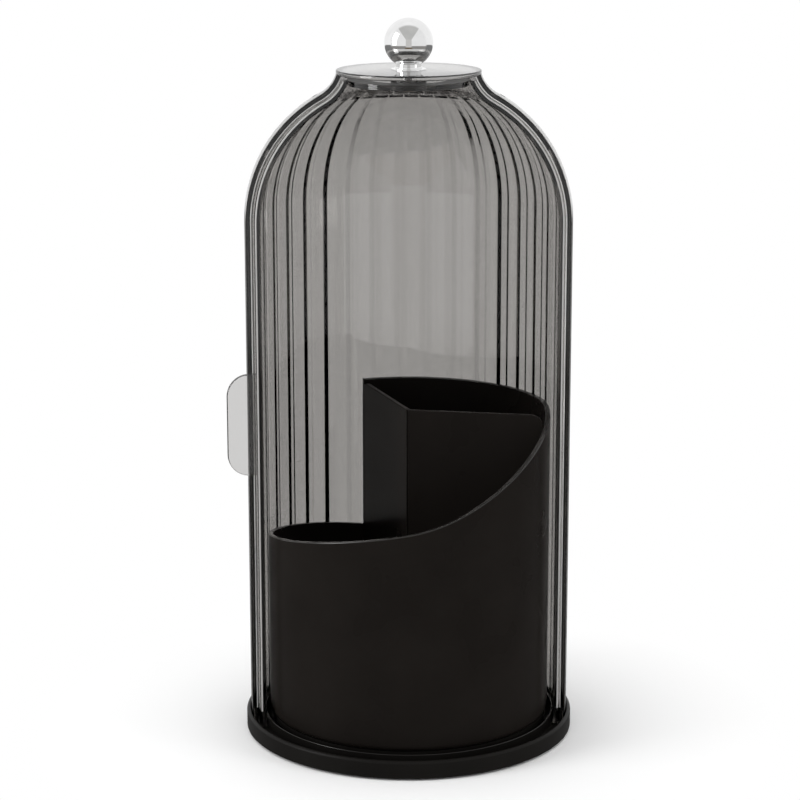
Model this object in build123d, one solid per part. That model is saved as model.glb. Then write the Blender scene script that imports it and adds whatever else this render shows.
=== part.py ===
from build123d import *

import math
import os

# Rotating bathroom organizer: a spinning spiral-rimmed cup on a flat base, under a fluted smoke-clear dome
# whose inner half slides round as a door. Millimetres, +Z up, front of the object towards -Y.
# The origin is on the table, on the turning axis.

# Dome line: straight wall, round shoulder, hollow neck (the outer face of the rear shell)
dome_r = 63.26
shoulder_z = 204.7
shoulder_r = 54.34
neck_r = 14.35
collar_r = 26.89
neck_cut = 5.1
shell_wall = 2.2
nest_gap = 0.3
door_wall = 2.2

# Flutes: narrow ribs with flat sides stand between sunk bands; the band at a cut edge keeps its full wall.
# The ribs stay rib_low under the full bands, run rib_under into the wall and rib_on degrees into the neck.
flutes_per_turn = 36
rib_top = 0.6
rib_slope = 20.5
rib_low = 0.02
rib_under = 0.3
rib_on = 1.0
rear_rib = 0.4
door_rib = 0.9

# How far round each half of the dome reaches, in degrees; the rear half is centred on the back
front_angle = -90.0
back_angle = 90.0
rear_span = 202.5
door_span = 210.0

# Base
base_h = 7.5
rim_wall = 1.44
seat_gap = 0.3
track_depth = 4.2
door_lift = 0.4
lip_gap = 0.66
lip_wall = 1.7
base_edge = 1.2
lip_edge = 0.35
web_t = 1.6
pad_t = 1.0
pad_proud = 0.6
pad_inset = 7.0
pad_gap = 0.2
tab_span = 9.0
tab_drop = 1.6
tab_gap = 0.25
tab_places = (20.0, 90.0, 160.0)

# Ball bearing turntable
platter_gap = 1.7
platter_t = 2.3
platter_web = 1.04
race_inset = 14.5
race_width = 14.0
race_t = 0.8
race_dip = 0.4
race_gap = 0.2
ball_r = 1.5
ball_gap = 0.03
ball_count = 24
cage_width = 8.0
cage_t = 1.15
pocket_gap = 0.1

# Turntable pin and what holds the platter on it
pin_r = 3.0
pin_flange_r = 6.0
pin_flange_t = 0.5
pin_boss_r = 8.0
boss_gap = 0.2
pin_fit = 0.06
press_gap = 0.02
hub_web = 0.9
well_side_gap = 0.6
pin_washer_r = 6.0
pin_washer_t = 0.4
clip_r = 5.0
clip_t = 0.5
clip_groove = 0.55
clip_mouth = 3.6
stack_gap = 0.05
pin_over = 0.15

# Cup and its spiral rim; angles run from the front, positive towards +X
cup_gap = 0.7
cup_h = 122.5
cup_wall = 1.9
cup_floor = 2.2
cup_foot_round = 2.5
cup_inner_round = 2.0
rim_low_h = 60.5
rim_slope = 0.16
rim_start = -160.0
ramp_from = 0.0
ramp_to = 103.0
rim_samples = 24

# Divider in the cup, with walls wall_turn degrees apart
wall_turn = 120.0
blade_t = 1.8
blade_gap = 0.3
blade_tall = 119.3
blade_low = 58.3
blade_corner = 5.0
hub_r = 4.5
hub_h = 12.0
peg_r = 2.2
peg_h = 6.0
peg_gap = 0.05

# Cup screws
screw_ring = 20.0
screw_r = 1.25
screw_head_r = 2.5
screw_head_h = 1.4
screw_bite = 1.9
screw_slot = 0.7
screw_count = 3
screw_hole_gap = 0.2

# Door handle: clear of the rear shell's edge, and lead_span degrees behind the door's leading edge
handle_clear = 1.2
lead_span = 3.75
handle_reach = 11.2
handle_h = 40.3
handle_mid_z = 127.0
handle_t = 2.0
handle_corner = 7.7
handle_edge = 0.5

# Top disc, door pivot and knob
disc_t = 2.4
disc_edge = 0.6
door_plate_t = 2.0
thrust_r = 6.8
thrust_t = 1.95
bush_r = 4.0
bush_flange_t = 1.2
bush_side_gap = 0.3
bush_end_gap = 0.15
stud_r = 2.0
nut_flats = 7.0
nut_h = 2.2
nut_chamfer = 0.3
knob_collar_r = 6.6
knob_collar_h = 1.2
knob_collar_edge = 0.4
knob_neck_r = 4.8
knob_neck_h = 1.0
knob_r = 9.1
stud_in_knob = 6.0

# Places that follow from the sizes above
flute_step = 360.0 / flutes_per_turn
rear_start = back_angle - rear_span / 2
rear_ribs = 1 + 2 * int((rear_span - flute_step) / 2 / flute_step)
door_ribs = int((door_span - lead_span - flute_step / 2) / flute_step)
handle_angle = rear_start + rear_span + math.degrees((handle_clear + handle_t / 2) / dome_r)
door_start = handle_angle + lead_span - door_span
door_inset = shell_wall + nest_gap
door_inner = door_inset + door_wall
door_out_r = dome_r - door_inset
door_first_rib = handle_angle - math.degrees((handle_t + rib_top) / 2 / door_out_r)

track_r = dome_r + seat_gap
base_r = track_r + rim_wall
track_floor = base_h - track_depth
lip_r = dome_r - door_inner - lip_gap
well_r = lip_r - lip_wall
cup_r = well_r - cup_gap
cup_in_r = cup_r - cup_wall
pad_r = base_r - pad_inset
well_floor = pad_t + web_t

platter_r = well_r - platter_gap
race_r = platter_r - race_inset
lower_race_top = well_floor + race_t
ball_z = lower_race_top - race_dip + ball_gap + ball_r
upper_race_z = ball_z + ball_r + ball_gap - race_dip
race_seat_z = upper_race_z + race_t
cup_z = race_seat_z + platter_web
platter_z = cup_z - platter_t
hub_top_z = platter_z + hub_web
boss_top = platter_z - boss_gap
pin_washer_z = hub_top_z + stack_gap
clip_z = pin_washer_z + pin_washer_t
pin_top = clip_z + clip_t + pin_over

cup_floor_z = cup_z + cup_floor
rim_top_z = cup_z + cup_h
rim_low_z = cup_z + rim_low_h
screw_start = front_angle + rim_start + wall_turn / 2

# The shoulder arc and the neck arc touch at one point, which sets the neck centre and the joining angle
shoulder_x = dome_r - shoulder_r
neck_x = collar_r + neck_r
neck_z = shoulder_z + math.sqrt((shoulder_r + neck_r) ** 2 - (neck_x - shoulder_x) ** 2)
join_angle = math.degrees(math.atan2(neck_z - shoulder_z, neck_x - shoulder_x))

disc_z = neck_z - neck_cut
disc_top = disc_z + disc_t
thrust_z = disc_z - thrust_t
door_top = thrust_z - stack_gap
door_plate_z = door_top - door_plate_t
recess_top = door_plate_z + bush_flange_t
bush_flange_top = recess_top - bush_end_gap
nut_top = bush_flange_top - bush_flange_t
stud_low = nut_top - nut_h
knob_z = disc_top + knob_collar_h
knob_mid = knob_z + knob_neck_h + math.sqrt(knob_r ** 2 - knob_neck_r ** 2)
stud_top = knob_z + stud_in_knob


def neck_radius(inset, z):
    """Radius of the hollow neck, set in from the dome line by inset, at height z."""
    return neck_x - math.sqrt((neck_r + inset) ** 2 - (neck_z - z) ** 2)


def ring(inner, outer, z_low, z_high):
    """A plain round ring or, with no inner radius, a disc."""
    face = Circle(outer) - Circle(inner) if inner else Circle(outer)
    return extrude(Pos(0, 0, z_low) * face, z_high - z_low)


def sector(inner, outer, z_low, z_high, start, span):
    """A slice of a ring, from the angle start over span degrees."""
    middle = (inner + outer) / 2
    section = Plane.XZ * Pos(middle, (z_low + z_high) / 2) * Rectangle(outer - inner, z_high - z_low)
    return Rot(0, 0, start) * revolve(section, Axis.Z, span)


def turned(points):
    """A solid of revolution from radius and height pairs."""
    return revolve(Plane.XZ * make_face(Polyline(*points, close=True)), Axis.Z)


def around(count, piece, start=0.0):
    """Copies of a piece, evenly spaced round the axis."""
    return [Rot(0, 0, start + index * 360.0 / count) * piece for index in range(count)]


def dome_line(inset, z_low, z_top, sunk):
    """The dome's half outline, set in by inset: wall, shoulder and neck. The neck itself is never sunk."""
    wall_r = dome_r - inset - sunk
    wall = Line((wall_r, z_low), (wall_r, shoulder_z))
    shoulder = CenterArc((shoulder_x, shoulder_z), shoulder_r - inset - sunk, 0, join_angle)
    hollow_r = neck_r + inset
    top_angle = 180 + math.degrees(math.asin((neck_z - z_top) / hollow_r))
    join_end = join_angle + 180
    neck = CenterArc((neck_x, neck_z), hollow_r, join_end, top_angle - join_end)
    if sunk:
        return [wall, shoulder, Line(shoulder @ 1, neck @ 0), neck]
    return [wall, shoulder, neck]


def make_rib(inset, z_low, depth):
    """One rib, at the angle 0: a low wedge with a flat top, led up the wall and over the shoulder."""
    floor_r = dome_r - inset - depth
    top_h = depth - rib_low
    foot_w = rib_top / 2 + (top_h + rib_under) / math.tan(math.radians(rib_slope))
    corners = [(-rib_under, -foot_w), (-rib_under, foot_w), (top_h, rib_top / 2), (top_h, -rib_top / 2)]
    section = Pos(floor_r, 0, z_low) * make_face(Polyline(*corners, close=True))
    run = Line((floor_r, z_low), (floor_r, shoulder_z))
    bend = CenterArc((shoulder_x, shoulder_z), shoulder_r - inset - depth, 0, join_angle + rib_on)
    return sweep(section, Plane.XZ * Wire([run, bend]))


def fluted_shell(inset, wall, z_low, z_top, start, span, depth, ribs):
    """Part of the dome as a shell with ribs at given angles, sunk by depth from the first rib to the last."""
    inner = dome_line(inset + wall, z_low, z_top, 0)
    shell = Part()
    for sunk, low, high in ((0, start, ribs[0]), (depth, ribs[0], ribs[-1]), (0, ribs[-1], start + span)):
        outer = dome_line(inset, z_low, z_top, sunk)
        foot = Line(inner[0] @ 0, outer[0] @ 0)
        rim = Line(outer[-1] @ 1, inner[-1] @ 1)
        section = Plane.XZ * make_face([*outer, *inner, foot, rim])
        shell += Rot(0, 0, low) * revolve(section, Axis.Z, high - low)
    rib = make_rib(inset, z_low, depth)
    return shell + [Rot(0, 0, angle) * rib for angle in ribs]


def make_base():
    """Black moulded base: a track for the shells, and a well for the turntable."""
    body = ring(0, base_r, pad_proud, base_h)
    body = fillet(body.edges().group_by(Axis.Z)[-1], base_edge)
    body -= ring(lip_r, track_r, track_floor, base_h)
    body -= ring(0, well_r, well_floor, base_h)
    lip_edges = body.edges().group_by(Axis.Z)[-1].filter_by(lambda edge: edge.radius < track_r - seat_gap)
    body = fillet(lip_edges, lip_edge)
    body += ring(0, pin_boss_r, well_floor, boss_top)
    body -= ring(0, pad_r + pad_gap, pad_proud, pad_t)
    body -= ring(0, pin_flange_r + pad_gap, pad_t, pad_t + pin_flange_t)
    body -= ring(0, pin_r + press_gap, pad_t, boss_top)
    for place in tab_places:
        half = tab_span / 2 + math.degrees(tab_gap / dome_r)
        slot_in = dome_r - shell_wall - tab_gap
        slot_low = track_floor - tab_drop - tab_gap
        body -= sector(slot_in, dome_r + tab_gap, slot_low, track_floor, place - half, 2 * half)
    return body


def make_pin():
    """Flanged steel pin, pressed into the base from below, with a groove for the clip."""
    neck = pin_r - clip_groove
    flange_top = pad_t + pin_flange_t
    return turned([
        (0, pad_t), (pin_flange_r, pad_t), (pin_flange_r, flange_top), (pin_r, flange_top),
        (pin_r, clip_z), (neck, clip_z), (neck, clip_z + clip_t), (pin_r, clip_z + clip_t),
        (pin_r, pin_top), (0, pin_top),
    ])


def make_clip():
    """Retaining clip: an open ring that snaps into the pin's groove."""
    inner = pin_r - clip_groove + press_gap
    clip = ring(inner, clip_r, clip_z, clip_z + clip_t)
    mouth = Pos(clip_r / 2, 0, clip_z + clip_t / 2) * Box(clip_r, clip_mouth, clip_t)
    return clip - mouth


def make_race(z_low, groove_z):
    """A pressed steel ring with a shallow round track for the balls."""
    race = ring(race_r - race_width / 2, race_r + race_width / 2, z_low, z_low + race_t)
    return race - Pos(0, 0, groove_z) * Torus(race_r, ball_r + pocket_gap)


def make_cage():
    """Flat ring with a pocket for each ball."""
    z_low = ball_z - cage_t / 2
    cage = ring(race_r - cage_width / 2, race_r + cage_width / 2, z_low, z_low + cage_t)
    pocket = Pos(race_r, 0, ball_z) * Cylinder(ball_r + pocket_gap, cage_t)
    return cage - around(ball_count, pocket)


def make_platter():
    """The turning plate under the cup, with a seat for the upper race and a hub on the pin."""
    platter = ring(0, platter_r, platter_z, cup_z)
    half = race_width / 2 + race_gap
    platter -= ring(race_r - half, race_r + half, platter_z, race_seat_z)
    platter -= ring(0, pin_r + pin_fit, platter_z, cup_z)
    platter -= ring(0, pin_washer_r + well_side_gap, hub_top_z, cup_z)
    hole = Pos(screw_ring, 0, 0) * ring(0, screw_r + press_gap, platter_z, cup_z)
    return platter - around(screw_count, hole, screw_start)


def rim_height(angle):
    """Height of the cup's spiral rim: a gentle climb, then a steeper curve up to the flat part."""
    climb = rim_low_z + rim_slope * (min(angle, ramp_from) - rim_start)
    if angle <= ramp_from:
        return climb
    run = ramp_to - ramp_from
    share = (angle - ramp_from) / run
    rise = (rim_top_z - climb) * share ** 2 * (3 - 2 * share)
    ease = rim_slope * run * share * (1 - share) ** 2
    return climb + rise + ease


def rim_curve(radius):
    """The spiral rim as one curve at a given radius."""
    points = []
    for index in range(rim_samples + 1):
        angle = rim_start + (ramp_to - rim_start) * index / rim_samples
        turn = math.radians(angle)
        points.append((radius * math.sin(turn), -radius * math.cos(turn), rim_height(angle)))
    return Edge.make_spline([Vector(*point) for point in points])


def make_cup():
    """Black cup: round wall, peg for the divider, and a rim cut to a spiral."""
    outside = ring(0, cup_r, cup_z, rim_top_z)
    outside = fillet(outside.edges().group_by(Axis.Z)[0], cup_foot_round)
    inside = ring(0, cup_in_r, cup_floor_z, rim_top_z)
    inside = fillet(inside.edges().group_by(Axis.Z)[0], cup_inner_round)
    cup = outside - inside
    cup += ring(0, peg_r, cup_floor_z, cup_floor_z + peg_h)
    hole = Pos(screw_ring, 0, 0) * ring(0, screw_r + screw_hole_gap, cup_z, cup_floor_z)
    cup -= around(screw_count, hole, screw_start)
    spiral = Face.make_surface_from_curves(rim_curve(cup_in_r - cup_wall), rim_curve(cup_r + cup_wall))
    above = Solid.extrude(spiral, Vector(0, 0, cup_h))
    return cup - above


def make_blade(angle, height):
    """One wall of the divider, with its top outer corner rounded."""
    reach = cup_in_r - blade_gap
    outline = Pos(reach / 2, height / 2) * Rectangle(reach, height)
    corner = outline.vertices().sort_by(Axis.X)[-2:].sort_by(Axis.Y)[-1]
    outline = fillet(corner, blade_corner)
    foot = outline.vertices().sort_by(Axis.X)[-2:].sort_by(Axis.Y)[0]
    outline = fillet(foot, cup_inner_round)
    blade = extrude(Plane.XZ * outline, blade_t / 2, both=True)
    return Rot(0, 0, front_angle + angle) * Pos(0, 0, cup_floor_z) * blade


def make_divider():
    """Three-way divider: two tall walls round the rear space and a low one across the front."""
    heights = (blade_tall, blade_low, blade_tall)
    divider = ring(0, hub_r, cup_floor_z, cup_floor_z + hub_h)
    divider += ring(0, blade_t / 2, cup_floor_z, cup_floor_z + blade_tall)
    divider += [make_blade(rim_start + index * wall_turn, height) for index, height in enumerate(heights)]
    return divider - ring(0, peg_r + peg_gap, cup_floor_z, cup_floor_z + peg_h + peg_gap)


def make_cup_screws():
    """Pan head screws that hold the cup to the platter."""
    head_z = cup_floor_z
    shank = ring(0, screw_r, cup_z - screw_bite, head_z)
    head = ring(0, screw_head_r, head_z, head_z + screw_head_h)
    head = fillet(head.edges().group_by(Axis.Z)[-1], screw_head_h / 2)
    slot = Pos(0, 0, head_z + screw_head_h) * Box(2 * screw_head_r, screw_slot, screw_head_h)
    screw = Pos(screw_ring, 0, 0) * (shank + head - slot)
    return Compound(children=around(screw_count, screw, screw_start))


def make_rear_shell():
    """The fixed back half of the dome, with tabs that drop into the base."""
    ribs = [back_angle + (index - (rear_ribs - 1) / 2) * flute_step for index in range(rear_ribs)]
    shell = fluted_shell(0, shell_wall, track_floor, disc_z, rear_start, rear_span, rear_rib, ribs)
    tab_low = track_floor - tab_drop
    tab_out = dome_r - rear_rib
    for place in tab_places:
        shell += sector(dome_r - shell_wall, tab_out, tab_low, track_floor, place - tab_span / 2, tab_span)
    return shell


def make_door_shell():
    """The sliding half of the dome, hung from a plate on the pivot, with a recess for the bush's flange."""
    foot_z = track_floor + door_lift
    ribs = [handle_angle - index * flute_step for index in range(door_ribs, 0, -1)]
    ribs.append(door_first_rib)
    shell = fluted_shell(door_inset, door_wall, foot_z, door_top, door_start, door_span, door_rib, ribs)
    plate_r = neck_radius(door_inset + door_wall / 2, door_top)
    shell += ring(bush_r + pin_fit, plate_r, door_plate_z, door_top)
    return shell - ring(0, thrust_r + bush_side_gap, door_plate_z, recess_top)


def make_handle():
    """Clear D-shaped tab on the door's leading band."""
    root = door_out_r - door_wall
    tip = door_out_r + handle_reach
    outline = Pos((root + tip) / 2, handle_mid_z) * Rectangle(tip - root, handle_h)
    corners = outline.vertices().sort_by(Axis.X)[-2:]
    outline = fillet(corners, handle_corner)
    plate = extrude(Plane.XZ * outline, handle_t / 2, both=True)
    sides = plate.faces().filter_by(Axis.Y)
    rounded = sides.edges().filter_by(lambda edge: edge.center().X > root + handle_edge)
    plate = fillet(rounded, handle_edge)
    plate -= ring(0, door_out_r, handle_mid_z - handle_h, handle_mid_z + handle_h)
    return Rot(0, 0, handle_angle) * plate


def make_top_disc():
    """Clear disc that closes the neck."""
    disc = ring(stud_r + press_gap, neck_radius(0, disc_z), disc_z, disc_top)
    outer = disc.edges().filter_by(GeomType.CIRCLE).filter_by(lambda edge: edge.radius > knob_r)
    return fillet(outer, disc_edge)


def make_bush():
    """Flanged bush that the door's plate turns on."""
    hole = stud_r + press_gap
    return turned([
        (hole, nut_top), (thrust_r, nut_top), (thrust_r, bush_flange_top), (bush_r, bush_flange_top),
        (bush_r, thrust_z), (hole, thrust_z),
    ])


def make_nut():
    """Thin lock nut: a hexagon with its lower edges cut back."""
    hexagon = RegularPolygon(nut_flats / 2, 6, major_radius=False)
    nut = extrude(Pos(0, 0, stud_low) * hexagon, nut_h)
    nut = chamfer(nut.edges().group_by(Axis.Z)[0], nut_chamfer)
    return nut - ring(0, stud_r + press_gap, stud_low, nut_top)


def make_knob_collar():
    """Round foot under the knob."""
    collar = ring(stud_r + press_gap, knob_collar_r, disc_top, knob_z)
    outer = collar.edges().filter_by(GeomType.CIRCLE).filter_by(lambda edge: edge.radius > knob_neck_r)
    return fillet(outer, knob_collar_edge)


def make_knob():
    """Polished ball on a short neck, flat underneath and drilled for the stud."""
    knob = Pos(0, 0, knob_mid) * Sphere(knob_r) + ring(0, knob_neck_r, knob_z, knob_mid)
    knob -= ring(0, knob_r, knob_z - knob_r, knob_z)
    return knob - ring(0, stud_r + press_gap, knob_z, stud_top + press_gap)


balls = around(ball_count, Pos(race_r, 0, ball_z) * Sphere(ball_r))
nodes = {
    "base": make_base(),
    "anti_slip_pad": ring(0, pad_r, 0, pad_t),
    "turntable_pin": make_pin(),
    "pin_washer": ring(pin_r + pin_fit, pin_washer_r, pin_washer_z, clip_z),
    "retaining_clip": make_clip(),
    "lower_race": make_race(well_floor, lower_race_top - race_dip + ball_r + pocket_gap),
    "bearing_cage": make_cage(),
    "bearing_balls": Compound(children=balls),
    "upper_race": make_race(upper_race_z, upper_race_z + race_dip - ball_r - pocket_gap),
    "turntable_platter": make_platter(),
    "cup": make_cup(),
    "cup_divider": make_divider(),
    "cup_screws": make_cup_screws(),
    "rear_shell": make_rear_shell(),
    "door_shell": make_door_shell(),
    "door_handle": make_handle(),
    "top_disc": make_top_disc(),
    "thrust_washer": ring(stud_r + press_gap, thrust_r, thrust_z, disc_z),
    "pivot_bush": make_bush(),
    "lock_nut": make_nut(),
    "knob_stud": ring(0, stud_r, stud_low, stud_top),
    "knob_collar": make_knob_collar(),
    "knob": make_knob(),
}

os.makedirs("parts", exist_ok=True)
for name, solid in nodes.items():
    export_step(solid, f"parts/{name}.step")
print(f"{len(nodes)} nodes, base {2 * base_r:.1f} mm across, top of the knob at {knob_mid + knob_r:.1f} mm")
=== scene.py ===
# %% [markdown]
# This lesson dresses a countertop organizer: a black base, a black cup with a spiral rim that turns, and a
# fluted smoke-clear dome whose inner half slides round as a door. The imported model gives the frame, and
# every new piece is modelled on top of it, in the same place and at the same size. The object's lengths are
# in millimetres, as a maker would measure them, and MM turns them into the metres that Blender works in.
# The floor and the lamps are placed in metres.

# %% Load the frame
import math

import bmesh
import bpy
from mathutils import Matrix, Vector


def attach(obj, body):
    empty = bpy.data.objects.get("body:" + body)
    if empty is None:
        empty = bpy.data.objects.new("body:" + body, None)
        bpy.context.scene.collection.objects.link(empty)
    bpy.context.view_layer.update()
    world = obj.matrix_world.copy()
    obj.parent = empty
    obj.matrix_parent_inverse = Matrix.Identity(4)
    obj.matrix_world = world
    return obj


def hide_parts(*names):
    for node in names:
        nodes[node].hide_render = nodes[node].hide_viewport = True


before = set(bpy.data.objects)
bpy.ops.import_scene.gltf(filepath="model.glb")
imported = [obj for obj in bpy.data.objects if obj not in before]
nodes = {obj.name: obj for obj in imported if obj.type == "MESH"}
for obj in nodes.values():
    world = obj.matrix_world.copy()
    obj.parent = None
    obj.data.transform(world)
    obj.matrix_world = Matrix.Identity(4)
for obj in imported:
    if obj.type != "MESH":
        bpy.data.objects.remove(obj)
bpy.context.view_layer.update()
MM = 0.001

# %% [markdown]
# The camera comes first, because every later look is seen through it. The photograph looks slightly
# down on the object with a long lens, so the sides hardly converge. The camera could be moved by eye until
# the outlines meet. Here its place, tilt and lens are plain numbers, so that it stays put while the pieces
# change. A small sideways shift puts the turning axis a little to the right of the middle, as it is framed
# there.

# %% Camera
IMAGE_SIDE = 800
FOCAL_PIXELS = 2508.4
AXIS_PIXEL = 408.67
SENSOR_WIDTH = 36.0
CLIP_NEAR = 0.01
CAMERA_PLACE = (0.0, -957.2, 357.1)
CAMERA_TILT = math.radians(13.184)

camera = bpy.data.objects.new("camera", bpy.data.cameras.new("camera"))
camera.data.sensor_width = SENSOR_WIDTH
camera.data.lens = FOCAL_PIXELS / IMAGE_SIDE * SENSOR_WIDTH
camera.data.shift_x = (IMAGE_SIDE / 2 - AXIS_PIXEL) / IMAGE_SIDE
camera.data.clip_start = CLIP_NEAR
camera.location = Vector(CAMERA_PLACE) * MM
camera.rotation_euler = (math.pi / 2 - CAMERA_TILT, 0.0, 0.0)
bpy.context.scene.collection.objects.link(camera)
bpy.context.scene.camera = camera
print("lens", round(camera.data.lens, 1), "mm, shift", round(camera.data.shift_x, 4))

# %% [markdown]
# Each finish is a small network of nodes. Moulded plastic is never quite even: its gloss changes a little
# from place to place and its skin has a fine grain. Two noise textures on Object coordinates give both, one
# driving the roughness and one a very shallow bump. A noise mostly stays near its middle, so that stretch
# is spread over the wanted range. Values that are the same all over are typed on the sockets.

# %% Helpers for finishes
NOISE_LOW = 0.3
NOISE_HIGH = 0.7
SHADE_LOW = 0.35
SHADE_HIGH = 0.65
EVEN = (1.0, 1.0, 1.0)


def start_finish(name):
    """A new node material with its shader, and the node tree to add to."""
    material = bpy.data.materials.new(name)
    material.use_nodes = True
    tree = material.node_tree
    shader = tree.nodes["Principled BSDF"]
    return material, tree, shader


def noise(tree, scale, detail, stretch=EVEN):
    """Noise on Object coordinates, its scale in cycles per metre, stretched where a finish has a grain."""
    place = tree.nodes.new("ShaderNodeTexCoord")
    mapping = tree.nodes.new("ShaderNodeMapping")
    texture = tree.nodes.new("ShaderNodeTexNoise")
    mapping.inputs["Scale"].default_value = stretch
    texture.inputs["Scale"].default_value = scale
    texture.inputs["Detail"].default_value = detail
    tree.links.new(place.outputs["Object"], mapping.inputs["Vector"])
    tree.links.new(mapping.outputs["Vector"], texture.inputs["Vector"])
    return texture


def vary(tree, texture, socket, low, high):
    """Lets a texture move a shader value between low and high."""
    spread = tree.nodes.new("ShaderNodeMapRange")
    spread.inputs["From Min"].default_value = NOISE_LOW
    spread.inputs["From Max"].default_value = NOISE_HIGH
    spread.inputs["To Min"].default_value = low
    spread.inputs["To Max"].default_value = high
    tree.links.new(texture.outputs["Fac"], spread.inputs["Value"])
    tree.links.new(spread.outputs["Result"], socket)


def grain(tree, shader, texture, strength, height):
    """A shallow bump from a texture, its height in millimetres."""
    bump = tree.nodes.new("ShaderNodeBump")
    bump.inputs["Strength"].default_value = strength
    bump.inputs["Distance"].default_value = height * MM
    tree.links.new(texture.outputs["Fac"], bump.inputs["Height"])
    tree.links.new(bump.outputs["Normal"], shader.inputs["Normal"])


def tint(tree, texture, shader, dark, light):
    """Lets a texture move the colour between two close shades."""
    ramp = tree.nodes.new("ShaderNodeValToRGB")
    ramp.color_ramp.elements[0].position = SHADE_LOW
    ramp.color_ramp.elements[0].color = (*dark, 1.0)
    ramp.color_ramp.elements[1].position = SHADE_HIGH
    ramp.color_ramp.elements[1].color = (*light, 1.0)
    tree.links.new(texture.outputs["Fac"], ramp.inputs["Fac"])
    tree.links.new(ramp.outputs["Color"], shader.inputs["Base Color"])


print("finish helpers ready")

# %% [markdown]
# The base and the cup are black plastic. The base has a satin skin with a fine grain, and the cup is
# smoother, with a soft broad gloss. One even black would do from far off, but a cloudy gloss and a grained
# skin are what tell plastic from paint. Both blacks lean a little warm and keep their mirror strength low,
# so that a pale room doesn't grey them. The third black is polished. It is for the cup's rim and the top of
# the base's lip, which show as thin bright lines.

# %% Black plastics


def black_plastic(name, dark, light, gloss, mirror, grain_height):
    """A moulded black: cloudy gloss, a whisper of colour change, and a fine skin."""
    material, tree, shader = start_finish(name)
    shader.inputs["Specular IOR Level"].default_value = mirror
    clouds = noise(tree, scale=35.0, detail=3.0)
    vary(tree, clouds, shader.inputs["Roughness"], *gloss)
    tint(tree, clouds, shader, dark, light)
    skin = noise(tree, scale=2600.0, detail=2.0)
    grain(tree, shader, skin, strength=0.35, height=grain_height)
    return material


black_satin = black_plastic(
    "black_satin", dark=(0.0066, 0.006, 0.0054), light=(0.0084, 0.0077, 0.0069),
    gloss=(0.36, 0.44), mirror=0.08, grain_height=0.012)
black_gloss = black_plastic(
    "black_gloss", dark=(0.0098, 0.0082, 0.0072), light=(0.0116, 0.0098, 0.0086),
    gloss=(0.26, 0.32), mirror=0.03, grain_height=0.004)
black_edge = black_plastic(
    "black_edge", dark=(0.0098, 0.0088, 0.008), light=(0.0116, 0.0104, 0.0094),
    gloss=(0.1, 0.16), mirror=0.5, grain_height=0.002)
print("made", black_satin.name, black_gloss.name, black_edge.name)

# %% [markdown]
# The dome is clear plastic with a smoke-grey dye. Part of the grey is a stain that light takes on at each
# surface, and part is absorption along its path inside, which darkens the long paths in the flutes and
# along the edges. A stain alone would leave the edges pale, and absorption alone would make them black. The
# tab and the disc have less dye.

# %% Clear plastics


def clear_plastic(name, stain, dye, strength):
    """Polished see-through plastic: a stain at the surface, and dye that takes light away on its path."""
    material, tree, shader = start_finish(name)
    shader.inputs["Base Color"].default_value = (*stain, 1.0)
    shader.inputs["Transmission Weight"].default_value = 1.0
    shader.inputs["IOR"].default_value = 1.5
    polish = noise(tree, scale=60.0, detail=2.0)
    vary(tree, polish, shader.inputs["Roughness"], low=0.004, high=0.02)
    ripple = noise(tree, scale=130.0, detail=1.0)
    grain(tree, shader, ripple, strength=0.05, height=0.02)
    absorb = tree.nodes.new("ShaderNodeVolumeAbsorption")
    absorb.inputs["Color"].default_value = (*dye, 1.0)
    absorb.inputs["Density"].default_value = strength
    tree.links.new(absorb.outputs["Volume"], tree.nodes["Material Output"].inputs["Volume"])
    return material


smoke_clear = clear_plastic(
    "smoke_clear", stain=(0.625, 0.616, 0.606), dye=(0.06, 0.03, 0.0), strength=60.0)
pale_clear = clear_plastic(
    "pale_clear", stain=(0.64, 0.635, 0.63), dye=(0.05, 0.03, 0.0), strength=12.0)
print("made", smoke_clear.name, pale_clear.name)

# %% [markdown]
# The cut edges of the two half shells show as pale lines. Left polished, they would only bend and mirror
# what is round them. So their rounds get a painted highlight: the same plastic, made matt and pale, with
# fine streaks that run along the edge. It is nearly white on the rear half and greyer on the door.

# %% Painted highlights on the cut edges


def painted_highlight_plastic(name, dark, light):
    """A painted highlight for a cut edge, with streaks drawn out along the height."""
    material, tree, shader = start_finish(name)
    highlight_streaks = noise(tree, scale=900.0, detail=3.0, stretch=(1.0, 1.0, 0.05))
    tint(tree, highlight_streaks, shader, dark, light)
    vary(tree, highlight_streaks, shader.inputs["Roughness"], low=0.3, high=0.5)
    return material


# Painted highlights: the rear rounds, which lie in shade, are painted nearly white, and the door's, lit by
# the left lamp, are painted grey.
rear_edge_highlight = painted_highlight_plastic("rear_edge_highlight", dark=(0.82, 0.81, 0.80), light=(0.9, 0.89, 0.88))
door_edge_highlight = painted_highlight_plastic("door_edge_highlight", dark=(0.34, 0.335, 0.33), light=(0.4, 0.395, 0.39))
print("made", rear_edge_highlight.name, door_edge_highlight.name)

# %% [markdown]
# The knob is chrome plated: a mirror with hardly any grain. The nut, the stud and the bearing are plain
# plated steel, which is duller. A perfect mirror would be simplest, but no plating is polished evenly, so a
# fine noise moves the gloss and the shade a little. The small wearing parts are dark nylon and the foot is
# matt rubber. Both are moulded, so they come from the helper for the black plastics.

# %% Metals, nylon and rubber


def metal(name, dark, light, gloss, stretch=EVEN):
    """Plated metal with a faint uneven polish."""
    material, tree, shader = start_finish(name)
    shader.inputs["Metallic"].default_value = 1.0
    polish = noise(tree, scale=240.0, detail=3.0, stretch=stretch)
    vary(tree, polish, shader.inputs["Roughness"], *gloss)
    tint(tree, polish, shader, dark, light)
    return material


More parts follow.
